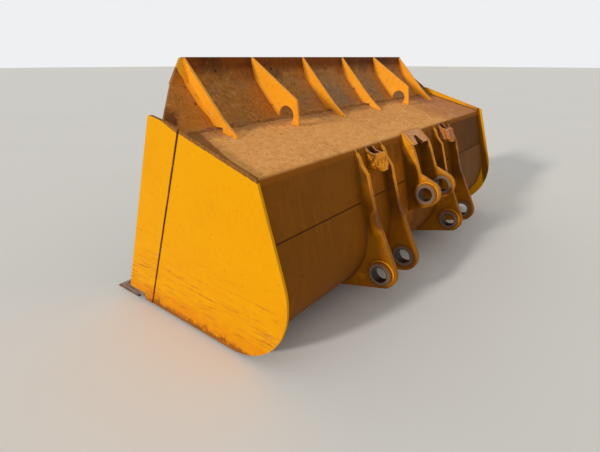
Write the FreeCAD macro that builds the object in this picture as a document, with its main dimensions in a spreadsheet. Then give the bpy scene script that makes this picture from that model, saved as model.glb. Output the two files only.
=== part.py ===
import FreeCAD, Part
import math
import os

import Sketcher

# Wheel loader bucket, standing level as it is put down on the ground.
# X runs across the bucket, Y forward to its cutting edge, Z up, in millimetres.
# The origin is under the middle of the whole bucket, on the ground.
# In the names, "back" is a distance behind the guard's top edge and "reach" one ahead of it.

doc = FreeCAD.newDocument("LoaderBucket")
sheet = doc.addObject("Spreadsheet::Sheet", "Sizes")

# Driving sizes: alias, value in millimetres, what it is
SIZES = [
    ("bucket_width", 2550, "over the side edges"),
    ("plate_step", 4, "how far the side edges stand out from the side plates"),
    ("side_thick", 12, "side plates"),
    ("shell_thick", 10, "rolled shell"),
    ("ground_gap", 25, "underside of the floor above the ground"),
    ("bend_back", 602, "rear bend of the ledge"),
    ("bend_height", 799, "rear bend of the ledge"),
    ("bend_radius", 30, "outside radius of the rear bend"),
    ("heel_back", 788, "corner that the back wall and the floor would meet in"),
    ("heel_radius", 330, "outside radius of the heel"),
    ("seam_height", 554, "weld seam across the back wall"),
    ("floor_reach", 210, "front end of the floor, where the cutting edge starts"),
    ("guard_height", 1190, "top of the spill guard"),
    ("lip_drop", 102, "height of the guard's lip bar"),
    ("lip_lean", 24, "how far the lip's foot stands behind its top"),
    ("lip_thick", 16, "lip bar"),
    ("guard_thick", 8, "guard plate"),
    ("foot_back", 189, "guard's foot on the ledge"),
    ("foot_height", 907, "guard's foot on the ledge"),
    ("guard_end_inset", 222, "each slanting guard end, bottom to top"),
    ("guard_end_height", 956, "where the guard's ends would reach the side edges' outsides"),
    ("rib_thick", 12, "ribs behind the guard"),
    ("rib_end_inset", 13, "outermost ribs from the guard's top corners"),
    ("rib_knee_back", 225, "where a rib's toe piece starts"),
    ("rib_knee_height", 950, "where a rib's toe piece starts"),
    ("rib_toe_back", 309, "tip of a rib's toe piece"),
    ("rib_toe_nose", 4, "blunt tip of a rib's toe piece"),
    ("rib_relief_height", 914, "lower edge of a rib, clear of the ledge"),
    ("hook_back", 291, "rear corner of a lifting rib"),
    ("hook_height", 998, "rear corner of a lifting rib"),
    ("hook_foot_back", 306, "heel of a lifting rib's foot"),
    ("hook_hole_back", 225, "centre of the lifting hole"),
    ("hook_hole_height", 923, "centre of the lifting hole"),
    ("hook_hole_radius", 47, "lifting hole"),
    ("rim_rise", 20, "rear top corner of the side plates above the ledge"),
    ("rim_top_back", 628, "rear top corner of the side plates"),
    ("rim_heel_back", 875, "corner of the side plates' rear and lower edges"),
    ("rim_heel_radius", 330, "heel of the side plates, which lets the hinge pins in past it"),
    ("rim_gap", 12, "side plates above the ground"),
    ("side_seam_back", 229, "top of the seam between side plate and side edge"),
    ("side_seam_reach", 155, "foot of that seam"),
    ("side_peak_back", 165, "rear end of the side edge's flatter top"),
    ("side_peak_height", 954, "rear end of the side edge's flatter top"),
    ("side_brow_back", 42, "front top corner of the side edge"),
    ("side_brow_height", 976, "front top corner of the side edge"),
    ("side_brow_radius", 12, "that corner"),
    ("side_toe_reach", 348, "front foot of the side edge on the cutting edge"),
    ("edge_thick", 25, "cutting edge"),
    ("edge_reach", 420, "front of the cutting edge"),
    ("edge_bevel", 36, "bevel of the cutting edge"),
    ("edge_nose", 6, "blunt front of the cutting edge and of its segments"),
    ("segment_rear_reach", 285, "rear of the bolted segments"),
    ("segment_reach", 480, "front of the bolted segments"),
    ("segment_gap", 3, "between two bolted segments"),
    ("wear_length", 210, "wear plates under the heel"),
    ("wear_width", 420, "wear plates under the heel"),
    ("wear_end_gap", 269, "outer wear plates from the side plates"),
    ("ear_thick", 25, "hinge and link ears"),
    ("hinge_centre", 465, "middle of each pair of hinge ears"),
    ("hinge_spread", 242, "hinge ears of a pair, centre to centre"),
    ("link_spread", 220, "link ears, centre to centre"),
    ("ear_brow_out", 18, "hinge ears' brow behind the back wall"),
    ("ear_brow_height", 762, "hinge ears' brow"),
    ("ear_neck_out", 26, "hinge ears' neck behind the back wall"),
    ("ear_neck_height", 727, "hinge ears' neck"),
    ("ear_shoulder_out", 50, "hinge ears' shoulder behind the back wall"),
    ("ear_shoulder_height", 687, "hinge ears' shoulder"),
    ("ear_waist_out", 62, "hinge ears' waist behind the back wall"),
    ("ear_waist_height", 505, "hinge ears' waist"),
    ("ear_foot_height", 70, "lower end of the hinge ears on the heel"),
    ("hinge_pin_back", 790, "hinge pins"),
    ("hinge_pin_height", 215, "hinge pins"),
    ("hinge_boss_radius", 80, "round end of the hinge ears"),
    ("hinge_bore", 75, "diameter of the hinge bores"),
    ("boss_out", 20, "bosses on the outer faces of each pair of ears"),
    ("boss_ring", 26, "wall of a boss round its bore"),
    ("link_pin_back", 790, "tilt link's pin"),
    ("link_pin_height", 500, "tilt link's pin"),
    ("link_boss_radius", 72, "round end of the link ears"),
    ("link_bore", 70, "diameter of the link bores"),
    ("link_shoulder_out", 71, "link ears' shoulder behind the back wall"),
    ("link_shoulder_height", 715, "link ears' shoulder"),
    ("link_waist_out", 90, "link ears' waist behind the back wall"),
    ("link_waist_height", 600, "link ears' waist"),
    ("link_foot_height", 385, "lower end of the link ears on the back wall"),
    ("stop_width", 86, "pads of the stop blocks between the hinge ears"),
    ("stop_pad_thick", 20, "those pads"),
    ("stop_top_out", 64, "rear face of a pad behind the back wall, at its top"),
    ("stop_top_height", 766, "top of a pad"),
    ("stop_foot_out", 76, "rear face of a pad behind the back wall, at its foot"),
    ("stop_length", 78, "height of a pad"),
    ("stop_chamfer", 22, "lower corners of a pad"),
    ("stop_neck_out", 20, "corner in the top of a stop block's cheeks"),
    ("stop_neck_height", 771, "that corner"),
    ("stop_cheek_thick", 12, "cheeks"),
    ("stop_cheek_inset", 5, "cheeks from the ends of the pad"),
    ("roof_thick", 16, "plate between the tops of the link ears"),
    ("roof_run", 85, "slope of that plate, along"),
    ("roof_fall", 76, "slope of that plate, down"),
    ("roof_length", 92, "that plate behind the line where it touches the bend"),
    ("notch_width", 48, "inner end of the notch in that plate"),
    ("notch_mouth", 84, "open end of the notch"),
    ("notch_depth", 56, "notch"),
]

for row, (alias, value, meaning) in enumerate(SIZES, start=1):
    sheet.set("A%d" % row, alias)
    sheet.set("B%d" % row, str(value))
    sheet.set("C%d" % row, meaning)
    sheet.setAlias("B%d" % row, alias)
doc.recompute()


class Length:
    """A number together with the sheet formula that it comes from."""

    def __init__(self, value, text):
        self.value = float(value)
        self.text = text

    def __add__(self, other):
        other = as_length(other)
        return Length(self.value + other.value, "(%s + %s)" % (self.text, other.text))

    def __sub__(self, other):
        other = as_length(other)
        return Length(self.value - other.value, "(%s - %s)" % (self.text, other.text))

    def __mul__(self, other):
        other = as_length(other)
        return Length(self.value * other.value, "(%s * %s)" % (self.text, other.text))

    def __truediv__(self, other):
        other = as_length(other)
        return Length(self.value / other.value, "(%s / %s)" % (self.text, other.text))

    def __radd__(self, other):
        return as_length(other) + self

    def __rsub__(self, other):
        return as_length(other) - self

    def __rmul__(self, other):
        return as_length(other) * self

    def __neg__(self):
        return as_length(0) - self


def as_length(number):
    return number if isinstance(number, Length) else Length(number, repr(number))


def size(alias):
    return Length(sheet.get(alias), "Sizes." + alias)


def root(length):
    return Length(math.sqrt(length.value), "sqrt(%s)" % length.text)


def along(start, end, height):
    """The point at a height on the line from start to end, each point (y, z)."""
    share = (height - start[1]) / (end[1] - start[1])
    return start[0] + (end[0] - start[0]) * share, height


def rise(start, end, place):
    """The height at a place y on the line from start to end."""
    return start[1] + (end[1] - start[1]) * (place - start[0]) / (end[0] - start[0])


def apart(start, end):
    """How far two points are from each other."""
    run = end[0] - start[0]
    climb = end[1] - start[1]
    return root(run * run + climb * climb)


def toward(start, end, distance):
    """The point at a distance from start on the line to end."""
    share = as_length(distance) / apart(start, end)
    return start[0] + (end[0] - start[0]) * share, start[1] + (end[1] - start[1]) * share


def tangent_length(before, corner, after, radius):
    """How far from a corner an arc of that radius meets its two sides."""
    ahead = toward(corner, after, 1)
    behind = toward(corner, before, 1)
    cosine = ((ahead[0] - corner[0]) * (behind[0] - corner[0])
              + (ahead[1] - corner[1]) * (behind[1] - corner[1]))
    return radius * root((1 + cosine) / (1 - cosine))


def tangent_point(start, centre, radius, side):
    """Where a line from start touches a circle that lies on the line's left (1) or right (-1)."""
    run = centre[0] - start[0]
    climb = centre[1] - start[1]
    square = run * run + climb * climb
    near = (square - radius * radius) / square
    aside = side * radius * root(square - radius * radius) / square
    return start[0] + near * run + aside * climb, start[1] + near * climb - aside * run


def bind(target, name, length):
    target.setExpression(name, as_length(length).text)


def draw_outline(sketch, stations, closed=True):
    """Lines and arcs through stations (across, up) or (across, up, radius).

    A radius makes the stretch from that station to the next one an arc: above 0 it turns
    left, below 0 right. Both coordinates of each station and each radius follow the sheet.
    """
    count = len(stations)
    stretches = count if closed else count - 1
    ends = []
    for index in range(stretches):
        start = stations[index]
        end = stations[(index + 1) % count]
        first = FreeCAD.Vector(start[0].value, start[1].value, 0)
        last = FreeCAD.Vector(end[0].value, end[1].value, 0)
        if len(start) == 2:
            curve = sketch.addGeometry(Part.LineSegment(first, last), False)
            ends.append((curve, 1, 2))
            continue
        radius = start[2]
        turn = 1 if radius.value > 0 else -1
        reach = abs(radius.value)
        chord = last - first
        left = FreeCAD.Vector(-chord.y, chord.x, 0).normalize()
        centre = first + chord * 0.5 + left * turn * math.sqrt(reach ** 2 - (chord.Length / 2) ** 2)
        opening = math.atan2(first.y - centre.y, first.x - centre.x)
        closing = math.atan2(last.y - centre.y, last.x - centre.x)
        if turn < 0:
            opening, closing = closing, opening
        circle = Part.Circle(centre, FreeCAD.Vector(0, 0, 1), reach)
        curve = sketch.addGeometry(Part.ArcOfCircle(circle, opening, closing), False)
        ends.append((curve, 1, 2) if turn > 0 else (curve, 2, 1))
        mark = sketch.addConstraint(Sketcher.Constraint("Radius", curve, reach))
        bind(sketch, "Constraints[%d]" % mark, radius if turn > 0 else -radius)
    for index, (curve, start, end) in enumerate(ends):
        if closed or index + 1 < stretches:
            following = ends[(index + 1) % stretches]
            sketch.addConstraint(Sketcher.Constraint("Coincident", curve, end, following[0], following[1]))
        fix_point(sketch, curve, start, stations[index])
    if not closed:
        fix_point(sketch, ends[-1][0], ends[-1][2], stations[-1])


def fix_point(sketch, curve, end, station):
    for kind, place in zip(("DistanceX", "DistanceY"), station):
        mark = sketch.addConstraint(Sketcher.Constraint(kind, -1, 1, curve, end, place.value))
        bind(sketch, "Constraints[%d]" % mark, place)


def draw_circle(sketch, centre, radius):
    middle = FreeCAD.Vector(centre[0].value, centre[1].value, 0)
    curve = sketch.addGeometry(Part.Circle(middle, FreeCAD.Vector(0, 0, 1), radius.value), False)
    mark = sketch.addConstraint(Sketcher.Constraint("Radius", curve, radius.value))
    bind(sketch, "Constraints[%d]" % mark, radius)
    fix_point(sketch, curve, 3, centre)


nodes = []


def new_body(name):
    body = doc.addObject("PartDesign::Body", name)
    body.Label = name
    nodes.append(body)
    return body


def new_sketch(body, name, role):
    plane = next(item for item in body.Origin.OriginFeatures if item.Role == role)
    sketch = body.newObject("Sketcher::SketchObject", name)
    sketch.AttachmentSupport = [(plane, "")]
    sketch.MapMode = "FlatFace"
    return sketch


def pad(body, name, sketch, length, symmetric=True, reverse=False):
    feature = body.newObject("PartDesign::Pad", name)
    feature.Profile = sketch
    feature.SideType = "Symmetric" if symmetric else "One side"
    feature.Reversed = reverse
    bind(feature, "Length", length)


def cut(body, name, sketch, length=None):
    """Cut a sketch out of a body to both sides: over a length, or all through."""
    feature = body.newObject("PartDesign::Pocket", name)
    feature.Profile = sketch
    feature.SideType = "Symmetric"
    if length is None:
        feature.Type = "ThroughAll"
    else:
        bind(feature, "Length", length)


def flat_plate(name, stations, thickness, across=None):
    """A plate standing along Y and Z, of one closed outline, at its place across the bucket."""
    body = new_body(name)
    sketch = new_sketch(body, name + "_outline", "YZ_Plane")
    draw_outline(sketch, stations)
    pad(body, name + "_pad", sketch, thickness)
    if across is not None:
        bind(body, "Placement.Base.x", across)
    return body


def straight_plate(name, start, end, thickness, length):
    """A plate drawn out along X whose outside runs from start to end, its thickness to the left."""
    ahead_one = toward(start, end, thickness)
    aside = (start[1] - ahead_one[1], ahead_one[0] - start[0])
    corners = [start, end, (end[0] + aside[0], end[1] + aside[1]), (start[0] + aside[0], start[1] + aside[1])]
    return flat_plate(name, corners, length)


def bent_plate(name, stations, thickness, length):
    """A plate folded or rolled along X: its outside line, thickened inwards and drawn out."""
    sketch = doc.addObject("Sketcher::SketchObject", name + "_line")
    sketch.Placement.Rotation = FreeCAD.Rotation(FreeCAD.Vector(1, 1, 1), 120)
    draw_outline(sketch, stations, closed=False)
    strip = doc.addObject("Part::Offset2D", name + "_strip")
    strip.Source = sketch
    strip.Mode = "Skin"
    strip.Join = "Intersection"
    strip.Fill = True
    bind(strip, "Value", -thickness)
    plate = doc.addObject("Part::Extrusion", name)
    plate.Base = strip
    plate.DirMode = "Custom"
    plate.Dir = FreeCAD.Vector(1, 0, 0)
    plate.Solid = True
    plate.Symmetric = True
    bind(plate, "LengthFwd", length)
    plate.Label = name
    nodes.append(plate)
    return plate


# Places along Y and Z that several pieces share
front_overall = size("segment_reach")
rear_overall = size("hinge_pin_back") + size("hinge_boss_radius")
datum = (rear_overall - front_overall) / 2


def behind(alias):
    return datum - size(alias)


def ahead(alias):
    return datum + size(alias)


floor_under = size("ground_gap")
ledge_foot = (behind("foot_back"), size("foot_height"))
bend = (behind("bend_back"), size("bend_height"))
heel = (behind("heel_back"), floor_under)
floor_end = (ahead("floor_reach"), floor_under)
lip_top = (datum, size("guard_height"))
lip_foot = (behind("lip_lean"), size("guard_height") - size("lip_drop"))
bend_run = tangent_length(ledge_foot, bend, heel, size("bend_radius"))
heel_run = tangent_length(bend, heel, floor_end, size("heel_radius"))
heel_on_wall = toward(heel, bend, heel_run)
heel_on_floor = toward(heel, floor_end, heel_run)
heel_centre = (heel_on_floor[0], floor_under + size("heel_radius"))
inside_width = size("bucket_width") - 2 * (size("plate_step") + size("side_thick"))
edge_top = floor_under + size("edge_thick")


bend_end = toward(bend, heel, bend_run)
wall_step = toward(bend, heel, 1)
bend_centre = (
    bend_end[0] + (bend[1] - wall_step[1]) * size("bend_radius"),
    bend_end[1] + (wall_step[0] - bend[0]) * size("bend_radius"),
)
# Where the roof of the link ears touches the bend, and the rear end of its underside
roof_slope = apart((size("roof_run"), size("roof_fall")), (as_length(0), as_length(0)))
bend_touch = (
    bend_centre[0] - size("bend_radius") * size("roof_fall") / roof_slope,
    bend_centre[1] + size("bend_radius") * size("roof_run") / roof_slope,
)
roof_end = (
    bend_touch[0] - size("roof_length") * size("roof_run") / roof_slope,
    bend_touch[1] - size("roof_length") * size("roof_fall") / roof_slope,
)


def on_roof(place):
    """The point on the roof's top face over a point of its underside."""
    out = size("roof_thick") / roof_slope
    return place[0] - out * size("roof_fall"), place[1] + out * size("roof_run")


def wall_at(height):
    """A point on the outside of the back wall."""
    return along(bend, heel, height)


def out_from_wall(out, height):
    place = wall_at(height)
    return place[0] - out, height


def make_shell():
    seam = wall_at(size("seam_height"))
    bend_start = toward(bend, ledge_foot, bend_run)
    upper = [ledge_foot, bend_start + (size("bend_radius"),), bend_end, seam]
    bent_plate("upper_shell", upper, size("shell_thick"), inside_width)
    lower = [seam, heel_on_wall + (size("heel_radius"),), heel_on_floor, floor_end]
    bent_plate("lower_shell", lower, size("shell_thick"), inside_width)


def slant_off_ends(plate, name, inner, outer):
    """Cut a guard piece's two ends along the slant through two points (across, height)."""
    beyond = size("bucket_width") / 2 + size("guard_end_inset")
    low = along(outer, inner, size("foot_height"))
    high = along(outer, inner, size("guard_height") + size("lip_thick"))
    for side, word in ((-1, "left"), (1, "right")):
        wedge = doc.addObject("PartDesign::Body", "%s_%s_wedge" % (name, word))
        sketch = new_sketch(wedge, "%s_%s_slant" % (name, word), "XZ_Plane")
        corners = [(side * across, up) for across, up in (low, (beyond, low[1]), (beyond, high[1]), high)]
        draw_outline(sketch, corners if side > 0 else corners[::-1])
        pad(wedge, "%s_%s_cutter" % (name, word), sketch, 2 * rear_overall)
        plate = cut_off(plate, wedge, "%s_%s_trimmed" % (name, word))
    return plate


def cut_off(plate, tool, name):
    trimmed = doc.addObject("Part::Cut", name)
    trimmed.Base = plate
    trimmed.Tool = tool
    return trimmed


def make_guard(side_edges):
    """The spill guard on the ledge and the lip bar along its top.

    Both widen evenly downwards until the guard reaches the outsides of the side edges; below
    their tops it fits between them.
    """
    half_width = size("bucket_width") / 2
    end_height = size("guard_end_height")
    lip_run = apart(lip_top, lip_foot)
    guard_run = apart(lip_foot, along(lip_foot, ledge_foot, end_height))
    top_end = (half_width - size("guard_end_inset"), size("guard_height"))
    joint_inset = size("guard_end_inset") * guard_run / (lip_run + guard_run)
    joint_end = (half_width - joint_inset, lip_foot[1])
    low_end = (half_width, end_height)
    for name, top, foot, thickness, ends in (
        ("guard_plate", lip_foot, ledge_foot, size("guard_thick"), (joint_end, low_end)),
        ("guard_lip", lip_top, lip_foot, size("lip_thick"), (top_end, joint_end)),
    ):
        plate = straight_plate(name + "_blank", top, foot, thickness, size("bucket_width"))
        nodes.remove(plate)
        plate = slant_off_ends(plate, name, *ends)
        if name == "guard_plate":
            for word, side_edge in zip(("left", "right"), side_edges):
                plate = cut_off(plate, side_edge, "%s_%s_notched" % (name, word))
        plate.Label = name
        nodes.append(plate)


def make_ribs():
    """Four plain ribs with toe pieces, and two lifting ribs with an arched hole, one each side."""
    knee = (behind("rib_knee_back"), size("rib_knee_height"))
    relief = size("rib_relief_height")
    relief_front = along(lip_foot, ledge_foot, relief)
    toe_tip = behind("rib_toe_back")
    toe_foot = (toe_tip, rise(bend, ledge_foot, toe_tip))
    knee_foot = (knee[0], rise(bend, ledge_foot, knee[0]))
    rib = [lip_top, knee, (knee[0], relief), relief_front, lip_foot]
    toe = [knee, (toe_tip, toe_foot[1] + size("rib_toe_nose")), toe_foot, knee_foot]
    outermost = size("bucket_width") / 2 - size("guard_end_inset") - size("rib_end_inset")
    for number, fifths in enumerate((-5, -1, 1, 5), start=1):
        across = outermost * fifths / 5
        flat_plate("rib_%d" % number, rib, size("rib_thick"), across)
        flat_plate("rib_toe_%d" % number, toe, size("rib_thick"), across)
    hook_top = (behind("hook_back"), size("hook_height"))
    hook_foot = (behind("hook_foot_back"), rise(bend, ledge_foot, behind("hook_foot_back")))
    hook = [lip_top, hook_top, hook_foot, ledge_foot, lip_foot]
    hole = (behind("hook_hole_back"), size("hook_hole_height"))
    for word, fifths in (("left", -3), ("right", 3)):
        name = "lifting_rib_" + word
        body = flat_plate(name, hook, size("rib_thick"), outermost * fifths / 5)
        sketch = new_sketch(body, name + "_hole", "YZ_Plane")
        draw_circle(sketch, hole, size("hook_hole_radius"))
        cut(body, name + "_pocket", sketch)


def make_sides():
    """A side plate and the thicker side edge in front of it, on each side."""
    rim_low = size("rim_gap")
    rim_top = (behind("rim_top_back"), rise(bend, ledge_foot, behind("rim_top_back")) + size("rim_rise"))
    peak = (behind("side_peak_back"), size("side_peak_height"))
    seam_place = behind("side_seam_back")
    seam_top = (seam_place, rise(rim_top, peak, seam_place))
    seam_foot = (ahead("side_seam_reach"), rim_low)
    rim_heel = (behind("rim_heel_back"), rim_low)
    run = tangent_length(rim_top, rim_heel, seam_foot, size("rim_heel_radius"))
    heel_start = toward(rim_heel, rim_top, run)
    heel_end = toward(rim_heel, seam_foot, run)
    plate = [seam_top, rim_top, heel_start + (size("rim_heel_radius"),), heel_end, seam_foot]
    brow = (behind("side_brow_back"), size("side_brow_height"))
    toe = (ahead("side_toe_reach"), edge_top)
    run = tangent_length(toe, brow, peak, size("side_brow_radius"))
    brow_start = toward(brow, toe, run)
    brow_end = toward(brow, peak, run)
    step = ahead("floor_reach")
    edge = [peak, seam_top, seam_foot, (step, rim_low), (step, edge_top), toe,
            brow_start + (size("side_brow_radius"),), brow_end]
    edges = []
    for word, side in (("left", -1), ("right", 1)):
        middle = (inside_width + size("side_thick")) / 2
        flat_plate("side_plate_" + word, plate, size("side_thick"), side * middle)
        thick = size("side_thick") + size("plate_step")
        edges.append(flat_plate("side_edge_" + word, edge, thick, side * (inside_width + thick) / 2))
    return edges


def make_cutting_edge():
    """The bevelled cutting edge, and the three reversible segments bolted under it."""
    nose = size("edge_nose")
    rear = ahead("floor_reach")
    front = ahead("edge_reach")
    edge = [(rear, floor_under), (front, floor_under), (front, floor_under + nose),
            (front - size("edge_bevel"), edge_top), (rear, edge_top)]
    flat_plate("cutting_edge", edge, size("bucket_width"))
    rear = ahead("segment_rear_reach")
    front = ahead("segment_reach")
    ground = as_length(0)
    segment = [(rear, ground), (front, ground), (front, nose),
               (front - size("edge_bevel"), floor_under), (rear, floor_under)]
    length = (size("bucket_width") - 2 * size("segment_gap")) / 3
    for word, place in (("left", -1), ("middle", 0), ("right", 1)):
        across = place * (length + size("segment_gap"))
        flat_plate("edge_segment_" + word, segment, length, across)


def make_wear_plates():
    """Plates under the heel that the bucket stands on."""
    rear = heel_on_floor[0]
    front = rear + size("wear_length")
    ground = as_length(0)
    plate = [(rear, ground), (front, ground), (front, floor_under), (rear, floor_under)]
    outer = inside_width / 2 - size("wear_end_gap") - size("wear_width") / 2
    for word, place in (("left", -1), ("middle", 0), ("right", 1)):
        flat_plate("wear_plate_" + word, plate, size("wear_width"), place * outer)


def make_ear(name, outline, pin, bore, across, outward):
    """One ear: its plate, the boss on its outer face and the bore through both."""
    body = flat_plate(name, outline, size("ear_thick"), across)
    ring = new_sketch(body, name + "_ring", "YZ_Plane")
    draw_circle(ring, pin, bore / 2 + size("boss_ring"))
    pad(body, name + "_boss", ring, size("ear_thick") / 2 + size("boss_out"), False, outward < 0)
    hole = new_sketch(body, name + "_hole", "YZ_Plane")
    draw_circle(hole, pin, bore / 2)
    cut(body, name + "_bore", hole)


def heel_point(height):
    """The point at a height on the rear of the rolled heel."""
    drop = heel_centre[1] - height
    radius = size("heel_radius")
    return heel_centre[0] - root(radius * radius - drop * drop), height


def make_ears():
    """Two pairs of ears for the lift arms and one pair for the tilt link."""
    pin = (behind("hinge_pin_back"), size("hinge_pin_height"))
    foot = heel_point(size("ear_foot_height"))
    brow = out_from_wall(size("ear_brow_out"), size("ear_brow_height"))
    waist = out_from_wall(size("ear_waist_out"), size("ear_waist_height"))
    boss_start = tangent_point(waist, pin, size("hinge_boss_radius"), 1)
    boss_end = tangent_point(foot, pin, size("hinge_boss_radius"), -1)
    hinge_ear = [
        foot + (-size("heel_radius"),),
        heel_on_wall,
        bend_end + (-size("bend_radius"),),
        tangent_point(brow, bend_centre, size("bend_radius"), -1),
        brow,
        out_from_wall(size("ear_neck_out"), size("ear_neck_height")),
        out_from_wall(size("ear_shoulder_out"), size("ear_shoulder_height")),
        waist,
        boss_start + (size("hinge_boss_radius"),),
        boss_end,
    ]
    for word, side in (("left", -1), ("right", 1)):
        for place, outward in (("inner", -1), ("outer", 1)):
            across = side * (size("hinge_centre") + outward * size("hinge_spread") / 2)
            name = "hinge_ear_%s_%s" % (word, place)
            make_ear(name, hinge_ear, pin, size("hinge_bore"), across, side * outward)
    pin = (behind("link_pin_back"), size("link_pin_height"))
    foot = wall_at(size("link_foot_height"))
    waist = out_from_wall(size("link_waist_out"), size("link_waist_height"))
    boss_start = tangent_point(waist, pin, size("link_boss_radius"), 1)
    boss_end = tangent_point(foot, pin, size("link_boss_radius"), -1)
    link_ear = [
        foot,
        bend_end + (-size("bend_radius"),),
        bend_touch,
        on_roof(bend_touch),
        on_roof(roof_end),
        out_from_wall(size("link_shoulder_out"), size("link_shoulder_height")),
        waist,
        boss_start + (size("link_boss_radius"),),
        boss_end,
    ]
    for word, side in (("left", -1), ("right", 1)):
        across = side * size("link_spread") / 2
        make_ear("link_ear_" + word, link_ear, pin, size("link_bore"), across, side)


def make_stops():
    """An open stop block between the ears of each hinge pair: two cheeks and a pad across them."""
    top = size("stop_top_height")
    foot = top - size("stop_length")
    top_out = size("stop_top_out")
    foot_out = size("stop_foot_out")
    inner_top = out_from_wall(top_out - size("stop_pad_thick"), top)
    inner_foot = out_from_wall(foot_out - size("stop_pad_thick"), foot)
    neck = out_from_wall(size("stop_neck_out"), size("stop_neck_height"))
    cheeks = [
        wall_at(foot),
        bend_end + (-size("bend_radius"),),
        tangent_point(neck, bend_centre, size("bend_radius"), -1),
        neck,
        inner_top,
        inner_foot,
    ]
    plate = [inner_foot, inner_top, out_from_wall(top_out, top), out_from_wall(foot_out, foot)]
    low = foot - size("stop_pad_thick")
    high = bend[1]
    hollow = [(bend_centre[0], low), (bend_centre[0], high), (inner_top[0], high),
              inner_top, inner_foot, (inner_foot[0], low)]
    half = size("stop_width") / 2
    corner = size("stop_chamfer")
    cheeks_width = size("stop_width") - 2 * size("stop_cheek_inset")
    for word, side in (("left", -1), ("right", 1)):
        name = "stop_block_" + word
        body = flat_plate(name, cheeks, cheeks_width, side * size("hinge_centre"))
        face = new_sketch(body, name + "_face", "YZ_Plane")
        draw_outline(face, plate)
        pad(body, name + "_plate", face, size("stop_width"))
        opening = new_sketch(body, name + "_opening", "YZ_Plane")
        draw_outline(opening, hollow)
        cut(body, name + "_hollow", opening, cheeks_width - 2 * size("stop_cheek_thick"))
        corners = new_sketch(body, name + "_corners", "XZ_Plane")
        draw_outline(corners, [(half, foot), (half, foot + corner), (half - corner, foot)])
        draw_outline(corners, [(-half, foot), (corner - half, foot), (-half, foot + corner)])
        cut(body, name + "_chamfers", corners)


def make_roof():
    """The plate between the tops of the link ears, with a notch open to the rear."""
    body = new_body("link_roof")
    sketch = new_sketch(body, "link_roof_outline", "XY_Plane")
    side = (size("link_spread") - size("ear_thick")) / 2
    slot = size("notch_width") / 2
    mouth = size("notch_mouth") / 2
    front = as_length(0)
    rear = -size("roof_length")
    notch_end = rear + size("notch_depth")
    draw_outline(sketch, [
        (-side, front),
        (-side, rear),
        (-mouth, rear),
        (-slot, notch_end - slot, -slot),
        (front, notch_end, -slot),
        (slot, notch_end - slot),
        (mouth, rear),
        (side, rear),
        (side, front),
    ])
    pad(body, "link_roof_pad", sketch, size("roof_thick"), symmetric=False)
    slope = Length(math.degrees(math.atan(size("roof_fall").value / size("roof_run").value)),
                   "atan(Sizes.roof_fall / Sizes.roof_run)")
    body.Placement.Rotation = FreeCAD.Rotation(FreeCAD.Vector(1, 0, 0), slope.value)
    bind(body, "Placement.Rotation.Angle", slope)
    bind(body, "Placement.Base.y", bend_touch[0])
    bind(body, "Placement.Base.z", bend_touch[1])


make_shell()
make_guard(make_sides())
make_ribs()
make_cutting_edge()
make_wear_plates()
make_ears()
make_stops()
make_roof()

doc.recompute()
for item in doc.Objects:
    if "Invalid" in item.State or "Error" in item.State:
        raise RuntimeError("%s failed: %s" % (item.Name, item.State))
os.makedirs("parts", exist_ok=True)
for node in nodes:
    if node.Shape.isNull() or not node.Shape.isValid():
        raise RuntimeError("%s has no valid shape" % node.Label)
    node.Shape.exportStep("parts/%s.step" % node.Label)
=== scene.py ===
import math
import random

import bmesh
import bpy
from mathutils import Matrix, Vector


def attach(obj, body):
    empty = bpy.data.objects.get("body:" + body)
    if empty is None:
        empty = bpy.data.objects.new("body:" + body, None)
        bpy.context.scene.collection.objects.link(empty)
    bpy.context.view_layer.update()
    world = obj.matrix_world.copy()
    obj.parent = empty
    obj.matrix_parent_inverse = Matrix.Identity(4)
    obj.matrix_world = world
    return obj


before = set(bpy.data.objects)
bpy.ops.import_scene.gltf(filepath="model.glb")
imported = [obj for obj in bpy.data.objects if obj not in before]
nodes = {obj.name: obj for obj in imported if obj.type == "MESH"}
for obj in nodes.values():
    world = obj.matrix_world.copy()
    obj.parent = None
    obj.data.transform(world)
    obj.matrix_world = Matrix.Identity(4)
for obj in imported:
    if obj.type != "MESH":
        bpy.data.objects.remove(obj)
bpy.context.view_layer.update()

# A wheel loader bucket: worn paint, rust and dust on its plates, and the weld
# beads, nuts and soil that the construction model leaves out. Lengths are metres.

# Points are (Y, Z) on the bucket's section, X runs across it.
GUARD_FOOT = (0.006, 0.907)
GUARD_FOOT_INSIDE = (0.0105, 0.8985)
LIP_FOOT = (0.171, 1.088)
LIP_TOP = (0.1925, 1.1800)
BEND = [(-0.3896, 0.8035), (-0.3993, 0.7990), (-0.4069, 0.7914), (-0.4112, 0.7815)]
BEND_INSIDE = [(-0.3871, 0.7939), (-0.3936, 0.7909), (-0.3986, 0.7857), (-0.4015, 0.7792)]
WALL_SEAM = (-0.4659, 0.554)
WALL_LINE = (BEND[-1], WALL_SEAM)
HEEL = [(-0.4952, 0.4321), (-0.5036, 0.3335), (-0.4824, 0.2368), (-0.4335, 0.1507),
        (-0.3612, 0.0831), (-0.2722, 0.0398), (-0.1743, 0.0250)]
HEEL_INSIDE = [(-0.4854, 0.4298), (-0.4936, 0.3341), (-0.4731, 0.2404), (-0.4256, 0.1569),
               (-0.3556, 0.0913), (-0.2692, 0.0494), (-0.1743, 0.0350)]
HEEL_CENTRE = (-0.1743, 0.3545)
HEEL_RADIUS = 0.3195
FLOOR_FRONT = 0.405
FLOOR_UNDERSIDE = 0.025
FLOOR_TOP = 0.035
EDGE_TOP = 0.050
LEDGE_SLOPE = 0.2617

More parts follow.
